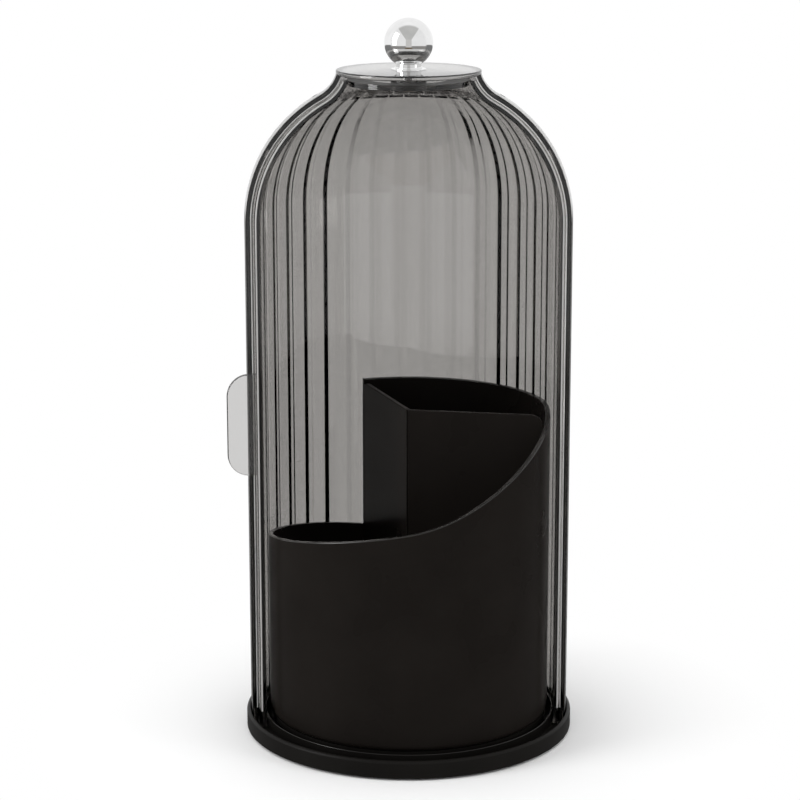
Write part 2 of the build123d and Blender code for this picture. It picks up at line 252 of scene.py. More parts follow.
chrome = metal("chrome", dark=(0.80, 0.80, 0.80), light=(0.86, 0.86, 0.86), gloss=(0.02, 0.05))
steel = metal(
    "steel", dark=(0.50, 0.50, 0.51), light=(0.60, 0.60, 0.61), gloss=(0.16, 0.3), stretch=(1.0, 1.0, 6.0))
nylon = black_plastic(
    "nylon", dark=(0.020, 0.020, 0.020), light=(0.028, 0.028, 0.028),
    gloss=(0.3, 0.42), mirror=0.4, grain_height=0.008)
pad_rubber = black_plastic(
    "pad_rubber", dark=(0.024, 0.024, 0.024), light=(0.036, 0.036, 0.036),
    gloss=(0.75, 0.9), mirror=0.2, grain_height=0.05)
print("made", chrome.name, steel.name, nylon.name, pad_rubber.name)

# %% [markdown]
# Most pieces are round, so most start as an outline of radius and height that is spun about the axis. The
# flat ones are an outline too, extruded to a thickness. Such shapes could also be made by hand in edit
# mode, but code keeps each size in one named place. Edges that catch light on the real object are rounded
# with a bevel.

# %% Helpers for shapes
AXIS = (0.0, 0.0, 1.0)
CENTRE = (0.0, 0.0, 0.0)
SAME_PLACE = 1e-6
RING_SLACK = 0.02


def outline(bm, points, closed=True):
    """Vertices and edges for an outline of radius and height pairs, in millimetres, on the XZ plane."""
    verts = [bm.verts.new((radius * MM, 0.0, z * MM)) for radius, z in points]
    pairs = list(zip(verts, verts[1:]))
    if closed:
        pairs.append((verts[-1], verts[0]))
    return verts, [bm.edges.new(pair) for pair in pairs]


def arc(centre_r, centre_z, radius, start, end, count):
    """Points on an arc in the XZ plane, both ends included, angles in degrees."""
    points = []
    for index in range(count + 1):
        turn = math.radians(start + (end - start) * index / count)
        points.append((centre_r + radius * math.cos(turn), centre_z + radius * math.sin(turn)))
    return points


def spot(vert):
    """Radius and height of a vertex, in millimetres."""
    return math.hypot(vert.co.x, vert.co.y) / MM, vert.co.z / MM


def turn_round(bm, verts, angle):
    """Turns vertices about the axis, by an angle in degrees."""
    bmesh.ops.rotate(bm, verts=verts, cent=CENTRE, matrix=Matrix.Rotation(math.radians(angle), 3, "Z"))


def turned(bm, points, steps, closed=True):
    """Spins an outline into a full solid of revolution."""
    verts, edges = outline(bm, points, closed)
    full = 2 * math.pi
    bmesh.ops.spin(bm, geom=verts + edges, cent=CENTRE, axis=AXIS, angle=full, steps=steps, use_merge=True)
    bmesh.ops.remove_doubles(bm, verts=bm.verts, dist=SAME_PLACE)


def push(bm, faces, move):
    """Extrudes faces, moves the new end, and gives the vertices of that end."""
    grown = bmesh.ops.extrude_face_region(bm, geom=faces)["geom"]
    moved = [item for item in grown if isinstance(item, bmesh.types.BMVert)]
    bmesh.ops.translate(bm, verts=moved, vec=move)
    return moved


def slab(bm, points, thickness):
    """A flat outline made a plate, centred on its plane: its vertices, and the edges of both faces."""
    verts, edges = outline(bm, points)
    face = bmesh.ops.contextual_create(bm, geom=edges)["faces"]
    bmesh.ops.translate(bm, verts=verts, vec=(0.0, thickness / 2 * MM, 0.0))
    verts += push(bm, face, (0.0, -thickness * MM, 0.0))
    whole = set(verts)
    own = [edge for edge in bm.edges if whole.issuperset(edge.verts)]
    rims = [edge for edge in own if abs(edge.verts[0].co.y - edge.verts[1].co.y) < SAME_PLACE]
    return verts, rims


def soften(bm, edges, width, segments):
    """Rounds edges, by a width in millimetres."""
    return bmesh.ops.bevel(
        bm, geom=edges, offset=width * MM, affect="EDGES", segments=segments, profile=0.5, material=-1)


def round_rings(bm, rings, width, segments=4):
    """Rounds the circular edges that lie at the given radius and height pairs."""
    picked = []
    for edge in bm.edges:
        ends = [spot(vert) for vert in edge.verts]
        for ring in rings:
            if all(math.dist(end, ring) < RING_SLACK for end in ends):
                picked.append(edge)
    soften(bm, picked, width, segments)


print("shape helpers ready")

# %% [markdown]
# A finished shape becomes a piece of the object. One helper does this for all of them: it closes the mesh,
# turns its faces outwards, shades it smooth up to a crease angle, tells the frame which body the piece
# rides on, and hides the frame's solid that it stands for. Another joins a second shape to the first where
# both are one moulding.

# %% Helpers for pieces
WELD = 1e-7


def join(bm, extra):
    """Adds a second shape to the first, and frees it."""
    carrier = bpy.data.meshes.new("carrier")
    extra.to_mesh(carrier)
    extra.free()
    bm.from_mesh(carrier)
    bpy.data.meshes.remove(carrier)


def finish_piece(name, bm, node, body, material, crease=35.0, others=()):
    """Closes the mesh, shades it smooth up to a crease angle, and hands it to the frame."""
    bmesh.ops.remove_doubles(bm, verts=bm.verts, dist=WELD)
    bmesh.ops.recalc_face_normals(bm, faces=bm.faces)
    open_edges = sum(1 for edge in bm.edges if not edge.is_manifold)
    mesh = bpy.data.meshes.new(name)
    bm.to_mesh(mesh)
    bm.free()
    mesh.shade_smooth()
    mesh.set_sharp_from_angle(angle=math.radians(crease))
    for finish in (material, *others):
        mesh.materials.append(finish)
    piece = bpy.data.objects.new(name, mesh)
    bpy.context.scene.collection.objects.link(piece)
    even = piece.modifiers.new("even shading", "WEIGHTED_NORMAL")
    even.keep_sharp = True
    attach(piece, body)
    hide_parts(node)
    print(name, len(mesh.vertices), "vertices,", open_edges, "open edges")
    return piece


print("piece helpers ready")

# %% [markdown]
# The base is one moulding: a low round tray with an outer rim, a track for the two shells, a thin lip that
# catches the light, and a well for the turning cup. It could be cut from a cylinder step by step. A spun
# outline is shorter and keeps every ring true. The outer top edge has the widest round. The lip gets
# thinner towards its top, so that it shows as a fine line, and that top takes the polished black.

# %% Base
base_r = 65.0
base_h = 7.5
base_round = 1.15
track_r = 63.56
track_floor = 3.3
lip_r = 57.9
lip_in_r = 57.3
lip_low = 5.0
lip_round = 0.15
lip_margin = 0.3
lip_depth = 0.2
well_r = 56.2
well_floor = 2.6
pad_r = 58.2
pad_low = 0.6
pad_top = 1.0
boss_r = 8.0
boss_top = 5.0
hole_r = 3.02
flange_r = 6.2
flange_top = 1.5
small_round = 0.25
SLACK = 0.01
RING_STEPS = 256

bm = bmesh.new()
turned(bm, [
    (hole_r, flange_top), (hole_r, boss_top), (boss_r, boss_top), (boss_r, well_floor),
    (well_r, well_floor), (well_r, lip_low), (lip_in_r, base_h), (lip_r, base_h), (lip_r, track_floor),
    (track_r, track_floor), (track_r, base_h), (base_r, base_h), (base_r, pad_low), (pad_r, pad_low),
    (pad_r, pad_top), (flange_r, pad_top), (flange_r, flange_top),
], RING_STEPS)
round_rings(bm, [(base_r, base_h)], base_round, segments=6)
round_rings(bm, [(lip_in_r, base_h), (lip_r, base_h)], lip_round)
round_rings(bm, [(track_r, base_h), (base_r, pad_low)], small_round, segments=3)
for face in bm.faces:
    spots = [spot(vert) for vert in face.verts]
    on_lip = all(lip_in_r - lip_margin < radius < lip_r + SLACK for radius, _ in spots)
    if on_lip and all(z > base_h - lip_depth for _, z in spots):
        face.material_index = 1
finish_piece("base_moulding", bm, "base", "base", black_satin, others=(black_edge,))

# %% [markdown]
# The cup is a round wall on a floor, and its rim climbs in a spiral: low at the step, a gentle rise across
# the front, a steeper curve on the right and a flat stretch at the back. A cut with a curved cutter would
# do it. Here the section is spun once round with its rim far above, at a marked height, and then each rim
# vertex drops to the height of the spiral at its own angle. The faces of the rim take the polished black.
# The first and last sections meet at the step, where one face closes the wall.

# %% Cup
cup_r = 55.5
cup_in_r = 53.6
cup_z = 7.5
cup_floor_z = 9.7
cup_foot = 2.5
cup_inner = 2.0
rim_top_z = 130.0
rim_low_z = 68.0
rim_slope = 0.16
rim_start = -160.0
ramp_from = 0.0
ramp_to = 103.0
rim_edge = 0.4
rim_mark = 300.0
rim_reach = 10.0
seam_drop = 2.0
ROUND_STEPS = 6
RIM_STEPS = 4
CUP_STEPS = 360


def rim_height(angle):
    """Height of the spiral rim at an angle from the front, positive towards the right."""
    climb = rim_low_z + rim_slope * (min(angle, ramp_from) - rim_start)
    if angle <= ramp_from:
        return climb
    if angle >= ramp_to:
        return rim_top_z
    run = ramp_to - ramp_from
    share = (angle - ramp_from) / run
    rise = (rim_top_z - climb) * share ** 2 * (3 - 2 * share)
    return climb + rise + rim_slope * run * share * (1 - share) ** 2


def front_angle(place):
    """Angle from the front of a point, from rim_start to a full turn on."""
    angle = math.degrees(math.atan2(place.x, -place.y))
    return angle if angle >= rim_start - SLACK else angle + 360.0


seam_z = rim_low_z - seam_drop
rim_z = rim_mark - rim_edge
section = [(0.0, cup_z), *arc(cup_r - cup_foot, cup_z + cup_foot, cup_foot, -90, 0, ROUND_STEPS)]
section += [(cup_r, seam_z), *arc(cup_r - rim_edge, rim_z, rim_edge, 0, 90, RIM_STEPS)]
section += [*arc(cup_in_r + rim_edge, rim_z, rim_edge, 90, 180, RIM_STEPS), (cup_in_r, seam_z)]
section += arc(cup_in_r - cup_inner, cup_floor_z + cup_inner, cup_inner, 0, -90, ROUND_STEPS)
section += [(0.0, cup_floor_z)]

bm = bmesh.new()
verts, edges = outline(bm, section, closed=False)
turn_round(bm, verts, rim_start - 90.0)
spun = bmesh.ops.spin(bm, geom=verts + edges, cent=CENTRE, axis=AXIS, angle=2 * math.pi, steps=CUP_STEPS)
for face in bm.faces:
    face.material_index = int(all(spot(vert)[1] > rim_z - SLACK for vert in face.verts))
first = set(verts)
last = {item for item in spun["geom_last"] if isinstance(item, bmesh.types.BMVert)}
for vert in bm.verts:
    above = vert.co.z / MM - rim_mark
    if above < -rim_reach:
        continue
    if vert in first:
        height = rim_low_z
    elif vert in last:
        height = rim_top_z
    else:
        height = rim_height(front_angle(vert.co))
    vert.co.z = (height + above) * MM
bmesh.ops.remove_doubles(bm, verts=bm.verts, dist=SAME_PLACE)
step_edges = [edge for edge in bm.edges if edge.is_boundary]
bmesh.ops.contextual_create(bm, geom=step_edges)
finish_piece("cup_moulding", bm, "cup", "cup", black_gloss, others=(black_edge,))

# %% [markdown]
# The divider stands in the cup: two tall walls round the rear space and a low one across the front, on a
# small hub. A wall could be a stretched cube, but its lower corner has to follow the round inside of the
# cup. So each wall is a flat outline with that corner, extruded to its thickness and turned to its place.
# Soft edges along the tops make thin highlights.

# %% Divider
blade_t = 1.8
blade_gap = 0.3
blade_tall = 119.3
blade_low = 58.3
blade_corner = 5.0
blade_edge = 0.3
blade_turn = 120.0
hub_r = 4.5
hub_h = 12.0
hub_round = 0.4
peg_r = 2.25
peg_h = 6.05
blade_reach = cup_in_r - blade_gap
BLADE_STEPS = 10
HUB_STEPS = 48


def add_blade(bm, angle, height):
    """One wall: an outline extruded to its thickness, softened, and turned to its angle."""
    top = cup_floor_z + height
    points = [(0.0, cup_floor_z)]
    points += arc(blade_reach - cup_inner, cup_floor_z + cup_inner, cup_inner, -90, 0, ROUND_STEPS)
    points += arc(blade_reach - blade_corner, top - blade_corner, blade_corner, 0, 90, BLADE_STEPS)
    points += [(0.0, top)]
    verts, rims = slab(bm, points, blade_t)
    softened = soften(bm, rims, blade_edge, segments=3)
    whole = {vert for vert in verts if vert.is_valid}.union(softened["verts"])
    turn_round(bm, list(whole), angle - 90.0)


bm = bmesh.new()
for index, height in enumerate((blade_tall, blade_low, blade_tall)):
    add_blade(bm, rim_start + blade_turn * index, height)
hub_top = cup_floor_z + hub_h
peg_top = cup_floor_z + peg_h
hub = bmesh.new()
turned(hub, [
    (0.0, peg_top), (peg_r, peg_top), (peg_r, cup_floor_z), (hub_r, cup_floor_z), (hub_r, hub_top),
    (0.0, hub_top),
], HUB_STEPS, closed=False)
round_rings(hub, [(hub_r, hub_top)], hub_round, segments=3)
join(bm, hub)
finish_piece("cup_divider_walls", bm, "cup_divider", "cup", black_gloss)

# %% [markdown]
# The dome is the hard part. Its line runs straight up, over a round shoulder and into a hollow neck. Both
# halves follow that line, one nested in the other, and each has narrow ribs with flat slanting sides,
# between bands that are sunk a little. Ribs could be made one by one and joined on, but in clear plastic
# every joint would show. So a section with real thickness is spun through the angle of each half, and the
# vertices are then drawn to the corners of the ribs. Over the shoulder the bands get shallower and the
# sides of the ribs narrower. At their upper end the bands are sunk to full depth once more, which makes a
# ring of short dashes below the neck.

# %% Dome sizes
dome_r = 63.26
shoulder_z = 204.7
shoulder_r = 54.34
neck_r = 14.35
collar_r = 26.89
neck_cut = 5.1
shell_wall = 2.2
door_wall = 2.2
nest_gap = 0.3
hang_gap = 2.0
clear_foot = 6.5
wall_rises = (0.0, clear_foot, 60.0, 130.0)
flute_end = 61.2
SHOULDER_STEPS = 21
BARE_STEPS = 2
NECK_STEPS = 9

door_inset = shell_wall + nest_gap
shoulder_x = dome_r - shoulder_r
neck_x = collar_r + neck_r
neck_z = shoulder_z + math.sqrt((shoulder_r + neck_r) ** 2 - (neck_x - shoulder_x) ** 2)
join_angle = math.degrees(math.atan2(neck_z - shoulder_z, neck_x - shoulder_x))
disc_z = neck_z - neck_cut
door_top = disc_z - hang_gap


def dome_line(inset, z_low, z_top):
    """The dome's outline, set in by inset: radius, height, lean of its normal, and whether it is fluted."""
    wall_r = dome_r - inset
    points = [(wall_r, z_low + rise, 0.0, True) for rise in wall_rises]
    bend_r = shoulder_r - inset
    for index, place in enumerate(arc(shoulder_x, shoulder_z, bend_r, 0, flute_end, SHOULDER_STEPS)):
        points.append((*place, flute_end * index / SHOULDER_STEPS, True))
    for radius, z in arc(shoulder_x, shoulder_z, bend_r, flute_end, join_angle, BARE_STEPS)[:-1]:
        points.append((radius, z, math.degrees(math.atan2(z - shoulder_z, radius - shoulder_x)), False))
    hollow_r = neck_r + inset
    top_angle = math.degrees(math.asin((neck_z - z_top) / hollow_r))
    for index in range(NECK_STEPS + 1):
        lean = join_angle + (top_angle - join_angle) * index / NECK_STEPS
        turn = math.radians(lean)
        points.append((neck_x - hollow_r * math.cos(turn), neck_z - hollow_r * math.sin(turn), lean, False))
    return points


print("neck centre at", round(neck_z, 2), "mm, join at", round(join_angle, 2), "degrees")

# %% [markdown]
# A spin puts its steps at even angles, but a rib needs them at its corners. So the steps round a shell are
# listed first, each by what it hangs from: a cut edge, a corner of a rib, the foot of a rib's side, or a
# share of the way between two of these. Subdividing the whole shell finely would also catch the ribs, at
# many times the faces.

# %% Steps round a shell
flute_step = 10.0
rib_top = 0.6
rib_slope = math.radians(20.5)
rib_crowding = 0.48
edge_round = 0.5
EDGE_STEPS = 4
FLOOR_STEPS = 5


def between(low, high, count):
    """Evenly spread steps between two, without either, each held by both."""
    return [(low, high, index / count) for index in range(1, count)]


def shell_steps(start, span, ribs):
    """The steps round a shell. Each hangs from two angles, with an offset in millimetres and a share of the
    rib's sloping side, and carries whether the face is sunk there and how far the cut edge is rounded."""
    end = start + span
    half = rib_top / 2
    edge = []
    for index in range(EDGE_STEPS + 1):
        turn = math.pi / 2 * index / EDGE_STEPS
        edge.append((edge_round * (1 - math.cos(turn)), edge_round * (1 - math.sin(turn))))
    steps = [(((start, run, 0), (start, run, 0), 0.0), 0, pinch) for run, pinch in edge]
    steps += [(held, 0, 0.0) for held in between((start, edge_round, 0), (ribs[0], -half, 0), FLOOR_STEPS)]
    for index, rib in enumerate(ribs):
        if index:
            foot = (rib, -half, -1)
            steps += [(held, 1, 0.0) for held in between((ribs[index - 1], half, 1), foot, FLOOR_STEPS)]
            steps.append(((foot, foot, 0.0), 1, 0.0))
        for corner in ((rib, -half, 0), (rib, half, 0)):
            steps.append(((corner, corner, 0.0), 0, 0.0))
        if rib != ribs[-1]:
            foot = (rib, half, 1)
            steps.append(((foot, foot, 0.0), 1, 0.0))
    steps += [(held, 0, 0.0) for held in between((ribs[-1], half, 0), (end, -edge_round, 0), FLOOR_STEPS)]
    steps += [(((end, -run, 0), (end, -run, 0), 0.0), 0, pinch) for run, pinch in reversed(edge)]
    return steps


def step_angle(held, radius, facet):
    """The angle of a step at a radius, for rib sides facet wide; offsets shrink where ribs would meet."""
    widest = math.radians(flute_step) * radius * rib_crowding
    low, high, share = held
    angles = []
    for turn, run, slide in (low, high):
        angles.append(turn + math.degrees(max(-widest, min(widest, run + slide * facet)) / radius))
    return angles[0] + (angles[1] - angles[0]) * share


print("flutes every", flute_step, "degrees, ribs", rib_top, "mm wide at the top")

# %% [markdown]
# The next helper makes one half. The chain of outer points and the chain of inner points are bridged into a
# strip, which is the cut edge of the shell, and the strip is spun. Layers of numbers ride on the vertices
# through the spin, so that each one still knows on which face it lies, whether it is fluted there and how
# its normal leans. Then each vertex goes to its step: to the rib's corners, down into a band, or round the
# cut edge. Those rounds take the painted highlight on one side of the wall, from a little above the foot.

# %% Fluted shell helper
rib_end = 0.25
rib_end_side = 0.6
rib_lip = 1.0
rib_lip_side = 0.3
LIP_SHARE = 0.001
FOOT_SLACK = 0.1
TURN_SLACK = 1.0
OUTER = 1.0
INNER = -1.0


def shell_strip(bm, layers, inset, wall, z_low, z_top):
    """The cut edge of a shell: a strip whose vertices know their lean, side and if they are fluted."""
    lean, side, fluted = layers
    chains = []
    for set_in, facing in ((inset, OUTER), (inset + wall, INNER)):
        line = dome_line(set_in, z_low, z_top)
        verts, edges = outline(bm, [(radius, z) for radius, z, _, _ in line], closed=False)
        for vert, (_, _, tilt, ribbed) in zip(verts, line):
            vert[lean] = math.radians(tilt)
            vert[side] = facing
            vert[fluted] = int(facing == OUTER and ribbed)
        chains += edges
    bmesh.ops.bridge_loops(bm, edges=chains)


def fluted_shell(inset, wall, z_low, z_top, start, span, ribs, depth, lit):
    """Part of the dome as a shell with ribs between sunk bands and rounded cut edges, as a mesh to finish.
    The rounds on its lit side, OUTER or INNER, take the second material, a painted highlight."""
    bm = bmesh.new()
    lean = bm.verts.layers.float.new("lean")
    side = bm.verts.layers.float.new("side")
    fluted = bm.verts.layers.int.new("fluted")
    highlight_rounds = bm.verts.layers.int.new("highlight_rounds")
    shell_strip(bm, (lean, side, fluted), inset, wall, z_low, z_top)
    turn_round(bm, bm.verts, start)
    steps = shell_steps(start, span, ribs)
    last_step = len(steps) - 1
    strip = bm.verts[:] + bm.edges[:] + bm.faces[:]
    bmesh.ops.spin(bm, geom=strip, cent=CENTRE, axis=AXIS, angle=math.radians(span), steps=last_step)
    end_cos = math.cos(math.radians(flute_end))
    for vert in bm.verts:
        radius, z = spot(vert)
        angle = math.degrees(math.atan2(vert.co.y, vert.co.x)) - start
        away = angle + 360.0 if angle < -TURN_SLACK else angle
        index = round(away / span * last_step)
        held, sunk, pinch = steps[index]
        rounded = min(index, last_step - index) <= EDGE_STEPS
        vert[highlight_rounds] = int(rounded and vert[side] == lit and z > z_low + clear_foot - FOOT_SLACK)
        share = max(0.0, (math.cos(vert[lean]) - end_cos) / (1 - end_cos))
        at_lip = share < LIP_SHARE
        local = depth * (rib_lip if at_lip else rib_end + (1 - rib_end) * share)
        wide = rib_lip_side if at_lip else rib_end_side + (1 - rib_end_side) * share
        facet = depth / math.tan(rib_slope) * wide
        inward = vert[side] * pinch + (sunk * local if vert[fluted] else 0.0)
        turn = math.radians(step_angle(held, radius, facet))
        radius -= inward * math.cos(vert[lean])
        vert.co.x = radius * math.cos(turn) * MM
        vert.co.y = radius * math.sin(turn) * MM
        vert.co.z = min(vert.co.z - inward * math.sin(vert[lean]) * MM, z_top * MM)
    # The rounds on the lit side take the second material, a painted highlight.
    for face in bm.faces:
        face.material_index = int(all(vert[highlight_rounds] for vert in face.verts))
    return bm


print("bands fade to", rib_end, "of their depth, just below", flute_end, "degrees up the shoulder")

# %% [markdown]
# The rear half stands in the base's track and reaches a little past the sides. It could share one mesh with
# the door, but the door has to slide, so the helper is called once for each. The rear half takes the outer
# line and shallow bands, and the rounds on its inner side take the painted highlight.

# %% Rear shell
rear_rib = 0.4
rear_ribs = 19
rear_middle = 90.0
rear_start = -11.25
rear_span = 202.5
rear_foot_gap = 0.05
shell_crease = 15.0

ribs = [rear_middle + (index - (rear_ribs - 1) / 2) * flute_step for index in range(rear_ribs)]
bm = fluted_shell(
    inset=0.0, wall=shell_wall, z_low=track_floor + rear_foot_gap, z_top=disc_z,
    start=rear_start, span=rear_span, ribs=ribs, depth=rear_rib, lit=INNER)
finish_piece(
    "rear_shell_moulding", bm, "rear_shell", "base", smoke_clear, shell_crease, (rear_edge_highlight,))

# %% [markdown]
# The door is the inner half, a little wider round than the rear one, with deeper bands and one more rib
# beside the tab. It hangs from a flat ring that turns on the pivot under the disc. The ring could be a
# piece of its own, but shell and ring are one moulding, so they are joined into one mesh. The outer part
# of the ring's top is painted dark with the nylon finish, a painted shade that shows through the disc as a
# dark band.

# %% Door shell
door_rib = 0.9
door_ribs = 20
door_start = -13.0074
door_span = 210.0
door_foot_gap = 0.4
handle_angle = 193.2426
handle_t = 2.0
plate_t = 2.0
plate_hole_r = 4.06
plate_r = 23.3
recess_r = 7.1
recess_h = 1.2
painted_shade_r = 15.0
SMALL_STEPS = 96

plate_z = door_top - plate_t
recess_z = plate_z + recess_h
door_out_r = dome_r - door_inset
ribs = [handle_angle - index * flute_step for index in range(door_ribs, 0, -1)]
ribs.append(handle_angle - math.degrees((handle_t + rib_top) / 2 / door_out_r))
bm = fluted_shell(
    inset=door_inset, wall=door_wall, z_low=track_floor + door_foot_gap, z_top=door_top,
    start=door_start, span=door_span, ribs=ribs, depth=door_rib, lit=OUTER)
ring = bmesh.new()
turned(ring, [
    (recess_r, plate_z), (plate_r, plate_z), (plate_r, door_top), (painted_shade_r, door_top),
    (plate_hole_r, door_top), (plate_hole_r, recess_z), (recess_r, recess_z),
], SMALL_STEPS)
# Painted shade: the outer part of the ring's top takes the dark nylon.
for face in ring.faces:
    spots = [spot(vert) for vert in face.verts]
    if all(radius > painted_shade_r - SLACK and z > door_top - SLACK for radius, z in spots):
        face.material_index = 2
join(bm, ring)
finish_piece(
    "door_shell_moulding", bm, "door_shell", "door", smoke_clear, shell_crease,
    (door_edge_highlight, nylon))

# %% [markdown]
# The tab that opens the door is a flat D of clear plastic, thicker looking than the shell because light
# gathers in its rounded edge. A cube with a bevel would have four round corners, and this has two. So it is
# an outline, extruded, with all its outer edges rounded, and turned to its place.

# %% Door handle
handle_reach = 11.2
handle_h = 40.3
handle_mid_z = 126.4
handle_corner = 8.6
handle_edge = 0.55
handle_gap = 0.02
root_reach = 0.1
CORNER_STEPS = 14

corner_r = door_out_r + handle_reach - handle_corner
low_z = handle_mid_z - handle_h / 2
top_z = handle_mid_z + handle_h / 2
root_r = door_out_r + handle_gap
points = [(root_r, low_z)]
points += arc(corner_r, low_z + handle_corner, handle_corner, -90, 0, CORNER_STEPS)
points += arc(corner_r, top_z - handle_corner, handle_corner, 0, 90, CORNER_STEPS)
points += [(root_r, top_z)]

bm = bmesh.new()
_, rims = slab(bm, points, handle_t)
free = (door_out_r + root_reach) * MM
free_rims = [edge for edge in rims if max(vert.co.x for vert in edge.verts) > free]
soften(bm, free_rims, handle_edge, segments=5)
turn_round(bm, bm.verts, handle_angle)
finish_piece("door_handle_tab", bm, "door_handle", "door", pale_clear)

# %% [markdown]
# A clear disc closes the neck. Below it hang a dark flanged bush, which the door turns on, and a bright
# nut. The disc and the bush are turned parts, so they are spun. The nut could be spun with six steps, but a
# six-sided circle pushed up to its height says more plainly what it is.

# %% Top disc, bush and nut
disc_r = 27.83
disc_t = 1.85
disc_edge = 0.6
stud_hole_r = 2.02
spacer_t = 1.95
thrust_r = 6.8
bush_r = 4.0
bush_play = 0.15
flange_t = 1.2
nut_flats = 7.0
nut_h = 2.2
nut_turn = 30.0
DISC_STEPS = 192
NUT_SIDES = 6

disc_top = disc_z + disc_t
spacer_z = disc_z - spacer_t
bush_flange_top = recess_z - bush_play
nut_top = bush_flange_top - flange_t

bm = bmesh.new()
turned(bm, [
    (stud_hole_r, disc_z), (disc_r, disc_z), (disc_r, disc_top), (stud_hole_r, disc_top),
], DISC_STEPS)
round_rings(bm, [(disc_r, disc_z), (disc_r, disc_top)], disc_edge, segments=5)
finish_piece("top_disc_plate", bm, "top_disc", "base", pale_clear)

bm = bmesh.new()
turned(bm, [
    (stud_hole_r, nut_top), (thrust_r, nut_top), (thrust_r, bush_flange_top), (bush_r, bush_flange_top),
    (bush_r, spacer_z), (stud_hole_r, spacer_z),
], SMALL_STEPS)
round_rings(bm, [(thrust_r, nut_top), (thrust_r, bush_flange_top)], small_round, segments=3)
finish_piece("pivot_bush_turned", bm, "pivot_bush", "base", nylon)

bm = bmesh.new()
nut_r = nut_flats / math.sqrt(3.0) * MM
hexagon = bmesh.ops.create_circle(bm, cap_ends=True, radius=nut_r, segments=NUT_SIDES)["verts"]
turn_round(bm, hexagon, nut_turn)
bmesh.ops.translate(bm, verts=hexagon, vec=(0.0, 0.0, (nut_top - nut_h) * MM))
push(bm, bm.faces[:], (0.0, 0.0, nut_h * MM))
soften(bm, bm.edges[:], small_round, segments=3)
finish_piece("lock_nut_turned", bm, "lock_nut", "base", steel)

# %% [markdown]
# The knob is a polished ball with a flat underside, and it sits on a thin foot that spreads the load on the
# disc. A ready-made sphere would have no flat, so the ball's outline is an arc. Both pieces are turned
# parts, so both are spun. The flange and the step of the foot catch the bright rings under the ball.

# %% Knob and its foot
foot_r = 6.7
foot_t = 0.35
foot_h = 0.95
foot_round = 0.2
step_run = 0.3
step_round = 0.15
waist_r = 4.8
ball_r = 9.35
ball_z = 272.15
BALL_STEPS = 48

foot_top = disc_top + foot_t
step_r = waist_r + step_run
waist_z = disc_top + foot_h
ball_low = -math.degrees(math.acos(waist_r / ball_r))

bm = bmesh.new()
turned(bm, [
    (stud_hole_r, disc_top), (foot_r, disc_top), (foot_r, foot_top), (step_r, foot_top), (step_r, waist_z),
    (stud_hole_r, waist_z),
], SMALL_STEPS)
round_rings(bm, [(foot_r, foot_top)], foot_round)
round_rings(bm, [(step_r, waist_z)], step_round)
finish_piece("knob_foot", bm, "knob_collar", "base", chrome)

bm = bmesh.new()
points = [(0.0, waist_z), (waist_r, waist_z), *arc(0.0, ball_z, ball_r, ball_low, 90, BALL_STEPS)]
turned(bm, points, SMALL_STEPS, closed=False)
finish_piece("knob_ball", bm, "knob", "base", chrome)

# %% [markdown]
# The bearing, the pin, the washers and the screws are hidden or hardly seen, and their solids are already
# true. They could be modelled again with softer edges, but nobody would see it. They stay as they are and
# only get the finish of their slot.

# %% Finishes for the solids that stay
kept = {
    "anti_slip_pad": pad_rubber, "turntable_pin": steel, "pin_washer": steel, "retaining_clip": steel,
    "lower_race": steel, "bearing_cage": nylon, "bearing_balls": steel, "upper_race": steel,
    "turntable_platter": black_satin, "cup_screws": steel, "thrust_washer": nylon, "knob_stud": steel,
}
for name, material in kept.items():
    mesh = nodes[name].data
    mesh.materials.clear()
    mesh.materials.append(material)
print("dressed", len(kept), "solids")

# %% [markdown]
# The floor is a plain pale sheet, a hair below the object's foot. A square plane would do, but a round one
# ends at the same distance on every side. It isn't mirrored in polished faces, which show the room instead.

# %% Floor
floor_r = 1.5
floor_drop = 0.0002
FLOOR_SIDES = 96

bm = bmesh.new()
bmesh.ops.create_circle(bm, cap_ends=True, radius=floor_r, segments=FLOOR_SIDES)
bmesh.ops.translate(bm, verts=bm.verts, vec=(0.0, 0.0, -floor_drop))
floor_mesh = bpy.data.meshes.new("floor")
bm.to_mesh(floor_mesh)
bm.free()
floor = bpy.data.objects.new("floor", floor_mesh)
bpy.context.scene.collection.objects.link(floor)
floor.visible_glossy = False
print("floor", 2 * floor_r, "m across")

# %% [markdown]
# Near the object the floor is lit like any matt sheet, so the soft shadow stays. Further out it fades to
# the plain white of the backdrop, which hides where the sheet ends. More light would whiten it too, but
# that would also bleach the object. So the fade is in the paint: a mix with plain white that grows with the
# distance, for what is seen straight on or through clear plastic.

# %% Floor paint
near_r = 0.075
far_r = 0.15

floor_paint, tree, shader = start_finish("floor_paint")
shader.inputs["Base Color"].default_value = (0.9, 0.9, 0.9, 1.0)
shader.inputs["Roughness"].default_value = 0.9
shader.inputs["Specular IOR Level"].default_value = 0.1
place = tree.nodes.new("ShaderNodeTexCoord")
distance = tree.nodes.new("ShaderNodeVectorMath")
distance.operation = "LENGTH"
fade = tree.nodes.new("ShaderNodeMapRange")
fade.inputs["From Min"].default_value = near_r
fade.inputs["From Max"].default_value = far_r
white = tree.nodes.new("ShaderNodeEmission")
blend = tree.nodes.new("ShaderNodeMixShader")
path = tree.nodes.new("ShaderNodeLightPath")
seen = tree.nodes.new("ShaderNodeMath")
seen.operation = "MAXIMUM"
faded = tree.nodes.new("ShaderNodeMath")
faded.operation = "MULTIPLY"
tree.links.new(place.outputs["Object"], distance.inputs[0])
tree.links.new(distance.outputs["Value"], fade.inputs["Value"])
tree.links.new(path.outputs["Is Camera Ray"], seen.inputs[0])
tree.links.new(path.outputs["Is Transmission Ray"], seen.inputs[1])
tree.links.new(seen.outputs["Value"], faded.inputs[0])
tree.links.new(fade.outputs["Result"], faded.inputs[1])
